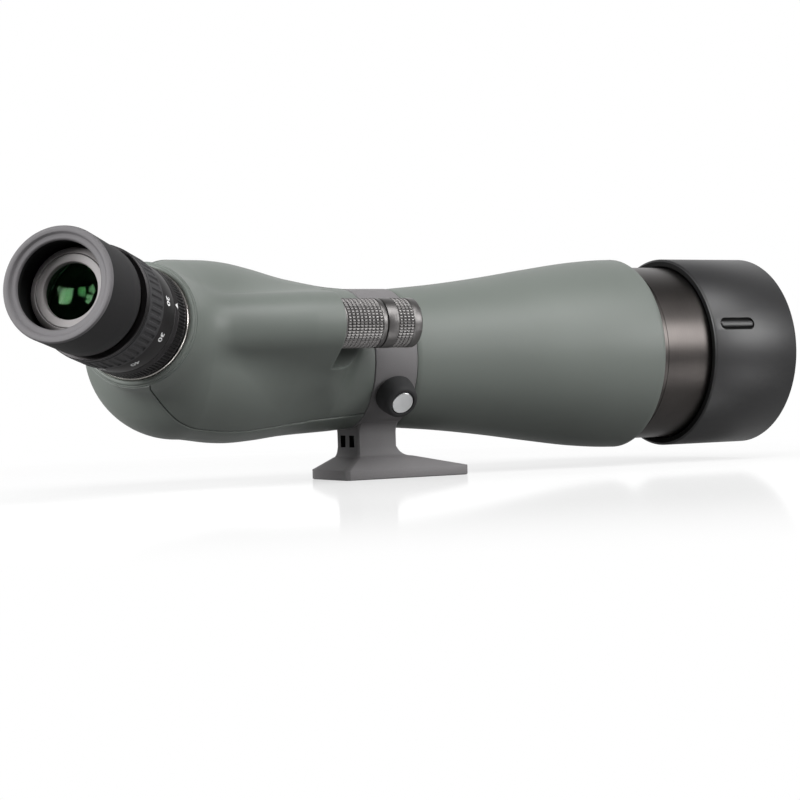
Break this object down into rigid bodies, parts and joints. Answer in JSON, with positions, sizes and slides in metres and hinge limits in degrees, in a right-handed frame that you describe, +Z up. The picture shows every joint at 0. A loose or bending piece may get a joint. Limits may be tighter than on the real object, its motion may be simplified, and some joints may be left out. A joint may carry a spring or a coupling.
{
  "type": "spotting scope",
  "caption": "Angled spotting scope with sliding sunshade, coarse and fine focus knobs and zoom eyepiece, rolling in a lockable collar on a tripod foot.",
  "frame": {"origin": "centre of the tripod foot's underside", "axes": "+X along the optical axis towards the objective, +Z up, +Y to the left seen from behind"},
  "size_m": [0.4451, 0.1765, 0.113],
  "materials": {
    "green_housing": "satin",
    "green_barrel": "satin",
    "stand_coat": "matte",
    "knob_metal": "satin",
    "knob_rubber": "matte",
    "silver_disc": "satin",
    "tube_black": "satin",
    "shade_black": "satin",
    "ring_black": "satin",
    "inner_black": "matte",
    "rubber": "matte",
    "eyecup_rubber": "matte",
    "bright_ring": "polished",
    "steel": "satin",
    "brass": "satin",
    "nylon": "matte",
    "felt": "matte",
    "lens_glass": "polished",
    "eye_lens_glass": "polished"
  },
  "bodies": {
    "stand": {"tripod_foot": "stand_coat", "quarter_inch_bush": "brass", "three_eighths_bush": "brass"},
    "lock_knob": {"lock_knob": "knob_rubber", "lock_knob_disc": "silver_disc", "lock_screw": "steel", "brake_shoe": "nylon"},
    "scope": {"front_barrel": "green_barrel", "barrel_seal": "rubber", "light_baffle": "inner_black", "objective_tube": "tube_black", "objective_cell": "inner_black", "objective_front_lens": "lens_glass", "objective_rear_lens": "lens_glass", "objective_retaining_ring": "tube_black", "upper_housing": "green_housing", "lower_housing": "green_housing", "focus_bush": "brass", "chassis_flange": "inner_black", "flange_screw_1": "steel", "flange_screw_2": "steel", "flange_screw_3": "steel", "guide_rod_left": "steel", "guide_rod_right": "steel", "prism_bulkhead": "inner_black", "roof_prism": "lens_glass", "prism_cradle": "inner_black", "prism_clamp": "steel", "eyepiece_socket": "bright_ring", "eyepiece_barrel": "tube_black", "field_lens": "lens_glass", "eyepiece_head": "tube_black", "eye_lens": "eye_lens_glass", "eye_lens_retainer": "ring_black"},
    "sunshade": {"sunshade": "shade_black", "sunshade_felt_ring": "felt"},
    "coarse_focus": {"coarse_focus_knob": "knob_metal", "coarse_focus_shaft": "steel"},
    "focus_carriage": {"focus_carriage": "inner_black"},
    "fine_focus": {"fine_focus_knob": "knob_metal", "fine_focus_shaft": "steel"},
    "focus_cell": {"focus_cell": "steel", "focusing_lens": "lens_glass"},
    "eyepiece_lock": {"eyepiece_lock_ring": "ring_black"},
    "zoom_ring": {"zoom_sleeve": "ring_black", "zoom_grip": "rubber"},
    "zoom_front_group": {"zoom_cell_front": "inner_black", "zoom_lens_front": "lens_glass"},
    "zoom_rear_group": {"zoom_cell_rear": "inner_black", "zoom_lens_rear": "lens_glass"},
    "eyecup_helix": {"eyecup_helix_ring": "nylon"},
    "eyecup": {"eyecup": "eyecup_rubber"}
  },
  "joints": [
    {"name": "collar_roll", "type": "hinge", "parent": "stand", "child": "scope", "pos_m": [-0.0132, 0, 0.0588], "axis": [-1, 0, 0], "range_deg": [-60.5, 209.5]},
    {"name": "lock_knob_turn", "type": "hinge", "parent": "stand", "child": "lock_knob", "pos_m": [-0.0132, -0.03438, 0.03895], "axis": [0, 0.866, 0.5], "range_deg": [0, 90]},
    {"name": "sunshade_slide", "type": "slide", "parent": "scope", "child": "sunshade", "axis": [1, 0, 0], "range_m": [-0.0315, 0]},
    {"name": "coarse_focus_turn", "type": "hinge", "parent": "scope", "child": "coarse_focus", "pos_m": [-0.0464, -0.0555, 0.07419], "axis": [1, 0, 0], "range_deg": [-540, 540]},
    {"name": "focus_carriage_slide", "type": "slide", "parent": "scope", "child": "focus_carriage", "axis": [1, 0, 0], "range_m": [-0.007, 0.007]},
    {"name": "fine_focus_turn", "type": "hinge", "parent": "scope", "child": "fine_focus", "pos_m": [-0.0258, -0.0555, 0.07419], "axis": [1, 0, 0], "range_deg": [-540, 540]},
    {"name": "focus_cell_slide", "type": "slide", "parent": "focus_carriage", "child": "focus_cell", "axis": [1, 0, 0], "range_m": [-0.0015, 0.0015]},
    {"name": "eyepiece_lock_turn", "type": "hinge", "parent": "scope", "child": "eyepiece_lock", "pos_m": [-0.16092, -0.06405, 0.07656], "axis": [-0.7071, -0.6814, 0.189], "range_deg": [0, 30]},
    {"name": "zoom_ring_turn", "type": "hinge", "parent": "scope", "child": "zoom_ring", "pos_m": [-0.17506, -0.07768, 0.08034], "axis": [-0.7071, -0.6814, 0.189], "range_deg": [0, 150]},
    {"name": "zoom_front_slide", "type": "slide", "parent": "scope", "child": "zoom_front_group", "axis": [-0.7071, -0.6814, 0.189], "range_m": [0, 0.005]},
    {"name": "zoom_rear_slide", "type": "slide", "parent": "scope", "child": "zoom_rear_group", "axis": [-0.7071, -0.6814, 0.189], "range_m": [-0.004, 0]},
    {"name": "eyecup_helix_turn", "type": "hinge", "parent": "scope", "child": "eyecup_helix", "pos_m": [-0.19132, -0.09335, 0.08469], "axis": [-0.7071, -0.6814, 0.189], "range_deg": [-30, 180]},
    {"name": "eyecup_slide", "type": "slide", "parent": "scope", "child": "eyecup", "axis": [-0.7071, -0.6814, 0.189], "range_m": [-0.001, 0.006]}
  ],
  "couplings": [
    {"joint": "focus_carriage_slide", "follows": "coarse_focus_turn", "m_per_rad": 0.000742},
    {"joint": "focus_cell_slide", "follows": "fine_focus_turn", "m_per_rad": 0.000159},
    {"joint": "zoom_front_slide", "follows": "zoom_ring_turn", "m_per_rad": 0.0019},
    {"joint": "zoom_rear_slide", "follows": "zoom_ring_turn", "m_per_rad": -0.0015},
    {"joint": "eyecup_slide", "follows": "eyecup_helix_turn", "m_per_rad": 0.0019}
  ]
}
